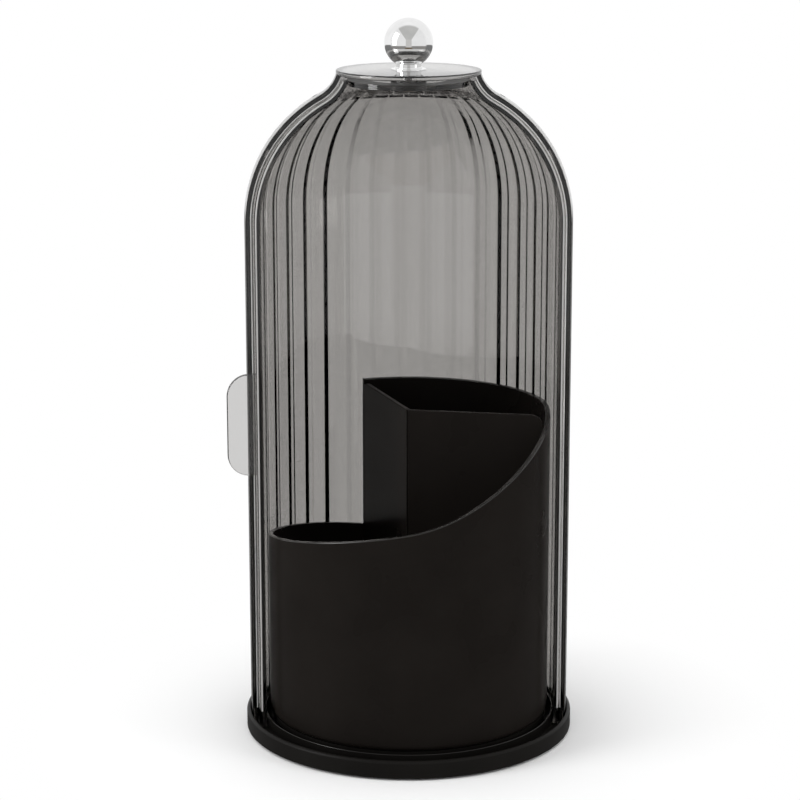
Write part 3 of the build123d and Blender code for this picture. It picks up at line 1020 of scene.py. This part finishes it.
tree.links.new(faded.outputs["Value"], blend.inputs["Fac"])
tree.links.new(shader.outputs["BSDF"], blend.inputs[1])
tree.links.new(white.outputs["Emission"], blend.inputs[2])
tree.links.new(blend.outputs["Shader"], tree.nodes["Material Output"].inputs["Surface"])
floor_mesh.materials.append(floor_paint)
print("floor fades from", near_r, "to", far_r, "m")

# %% [markdown]
# The room is painted on the world, by direction. It has no image to read from, so a few small helpers join
# node values into bands and colours. Writing every node out would come to the same, but hide what the room
# looks like.

# %% Helpers for the room
world = bpy.data.worlds.new("room")
bpy.context.scene.world = world
world.use_nodes = True
tree = world.node_tree
tree.nodes.clear()
place = tree.nodes.new("ShaderNodeTexCoord")
split = tree.nodes.new("ShaderNodeSeparateXYZ")
tree.links.new(place.outputs["Generated"], split.inputs["Vector"])
path = tree.nodes.new("ShaderNodeLightPath")


def band(source, low, high):
    """A smooth step from 0 to 1, as a value goes from low to high."""
    step = tree.nodes.new("ShaderNodeMapRange")
    step.interpolation_type = "SMOOTHSTEP"
    step.inputs["From Min"].default_value = low
    step.inputs["From Max"].default_value = high
    tree.links.new(source, step.inputs["Value"])
    return step.outputs["Result"]


def combine(operation, first, second):
    """Joins two values by a node operation such as a difference or the greater one."""
    step = tree.nodes.new("ShaderNodeMath")
    step.operation = operation
    tree.links.new(first, step.inputs[0])
    tree.links.new(second, step.inputs[1])
    return step.outputs["Value"]


def scaled(source, factor):
    """A value times a plain number."""
    step = tree.nodes.new("ShaderNodeMath")
    step.operation = "MULTIPLY"
    step.inputs[1].default_value = factor
    tree.links.new(source, step.inputs[0])
    return step.outputs["Value"]


def painted(share, first, second):
    """A colour that goes from first to second; either may be a plain colour or another painted one."""
    mix = tree.nodes.new("ShaderNodeMix")
    mix.data_type = "RGBA"
    tree.links.new(share, mix.inputs["Factor"])
    for socket, colour in ((mix.inputs[6], first), (mix.inputs[7], second)):
        if isinstance(colour, tuple):
            socket.default_value = (*colour, 1.0)
        else:
            tree.links.new(colour, socket)
    return mix.outputs[2]


print("room helpers ready")

# %% [markdown]
# The room is a long white studio. Towards the camera it runs away like a corridor: two bright window walls,
# a grey ceiling, a brown floor and a pale far end. The ball shows that corridor, and the flutes pick their
# dark lines from it. Which of the five sides a direction meets is told by the greatest of three ratios.
# Behind the object the room is plain white. Only what is mirrored there low down is dim, which keeps the
# clear outline crisp. Real walls with lamps would give the same reflections, but they would also cast light
# and shadows.

# %% Room
HALF_WIDTH = 0.244
HALF_HEIGHT = 0.33
SOFT = 0.04
SILL = (-0.222, -0.19)
BACK_HALF = (-0.1, 0.15)
LOW_BACK = (-0.16, -0.12)
WHITE = (1.0, 1.0, 1.0)
WINDOW = (0.9, 0.9, 0.9)
BELOW_WINDOW = (0.28, 0.27, 0.26)
CEILING = (0.56, 0.56, 0.55)
BROWN_FLOOR = (0.15, 0.11, 0.07)
FAR_END = (0.62, 0.61, 0.6)
DIM = (0.2, 0.2, 0.2)

to_side = tree.nodes.new("ShaderNodeMath")
to_side.operation = "ABSOLUTE"
tree.links.new(split.outputs["X"], to_side.inputs[0])
sideways = scaled(to_side.outputs["Value"], 1.0 / HALF_WIDTH)
upwards = scaled(split.outputs["Z"], 1.0 / HALF_HEIGHT)
downwards = scaled(split.outputs["Z"], -1.0 / HALF_HEIGHT)
onwards = scaled(split.outputs["Y"], -1.0)
nearest = combine("MAXIMUM", sideways, combine("MAXIMUM", upwards, downwards))

walls = painted(band(split.outputs["Z"], *SILL), BELOW_WINDOW, WINDOW)
ceiling_share = band(combine("SUBTRACT", upwards, sideways), -SOFT, SOFT)
floor_share = band(combine("SUBTRACT", downwards, sideways), -SOFT, SOFT)
end_share = band(combine("SUBTRACT", onwards, nearest), -SOFT, SOFT)
corridor = painted(ceiling_share, walls, CEILING)
corridor = painted(floor_share, corridor, BROWN_FLOOR)
corridor = painted(end_share, corridor, FAR_END)
low_back = painted(band(split.outputs["Z"], *LOW_BACK), DIM, WHITE)
back = painted(path.outputs["Is Transmission Ray"], low_back, WHITE)
shown = painted(band(split.outputs["Y"], *BACK_HALF), corridor, back)
print("room sides at", HALF_WIDTH, "and", HALF_HEIGHT, "of its length")

# %% [markdown]
# The world answers each ray by its kind. The camera sees a plain white backdrop. Mirrors and clear plastic
# see the painted room. Matt surfaces get an even white at a plain level. One colour for all three would
# either grey the backdrop or bleach the object.

# %% Light of the room
PLAIN_LEVEL = 0.62

plain = tree.nodes.new("ShaderNodeBackground")
plain.inputs["Strength"].default_value = PLAIN_LEVEL
mirrored = tree.nodes.new("ShaderNodeBackground")
backdrop = tree.nodes.new("ShaderNodeBackground")
for light in (plain, backdrop):
    light.inputs["Color"].default_value = (*WHITE, 1.0)
tree.links.new(shown, mirrored.inputs["Color"])
see_through = combine("MAXIMUM", path.outputs["Is Glossy Ray"], path.outputs["Is Transmission Ray"])
lit = tree.nodes.new("ShaderNodeMixShader")
final = tree.nodes.new("ShaderNodeMixShader")
out = tree.nodes.new("ShaderNodeOutputWorld")
tree.links.new(see_through, lit.inputs["Fac"])
tree.links.new(plain.outputs["Background"], lit.inputs[1])
tree.links.new(mirrored.outputs["Background"], lit.inputs[2])
tree.links.new(path.outputs["Is Camera Ray"], final.inputs["Fac"])
tree.links.new(lit.outputs["Shader"], final.inputs[1])
tree.links.new(backdrop.outputs["Background"], final.inputs[2])
tree.links.new(final.outputs["Shader"], out.inputs["Surface"])
print("room with", len(tree.nodes), "nodes")

# %% [markdown]
# Two soft boxes light the object from the left and the right, and one from above. A sun lamp would be
# simpler, but its shadows are hard. The level is plain: a colour renders about as it is written. Only the
# left box shows in polished faces.

# %% Lamps
BODY = (0.0, 0.0, 0.13)
TOP = (0.0, 0.0, 0.2)


def soft_box(name, place, target, width, height, watts, mirrored=False):
    """An area lamp that faces a point, and that polished faces mirror only if asked."""
    lamp = bpy.data.lights.new(name, "AREA")
    lamp.shape = "RECTANGLE"
    lamp.size = width
    lamp.size_y = height
    lamp.energy = watts
    holder = bpy.data.objects.new(name, lamp)
    holder.location = place
    holder.rotation_euler = (Vector(target) - Vector(place)).to_track_quat("-Z", "Y").to_euler()
    holder.visible_glossy = mirrored
    bpy.context.scene.collection.objects.link(holder)
    return holder


soft_box(
    "left_box", place=(-0.83, -0.29, 0.5), target=BODY, width=0.35, height=0.8, watts=5.0, mirrored=True)
soft_box("right_box", place=(0.85, -0.35, 0.4), target=BODY, width=0.3, height=0.8, watts=3.0)
soft_box("top_box", place=(0.0, 0.1, 1.0), target=TOP, width=0.7, height=0.7, watts=4.0)
bpy.context.scene.view_settings.view_transform = "Standard"
print("three soft boxes")
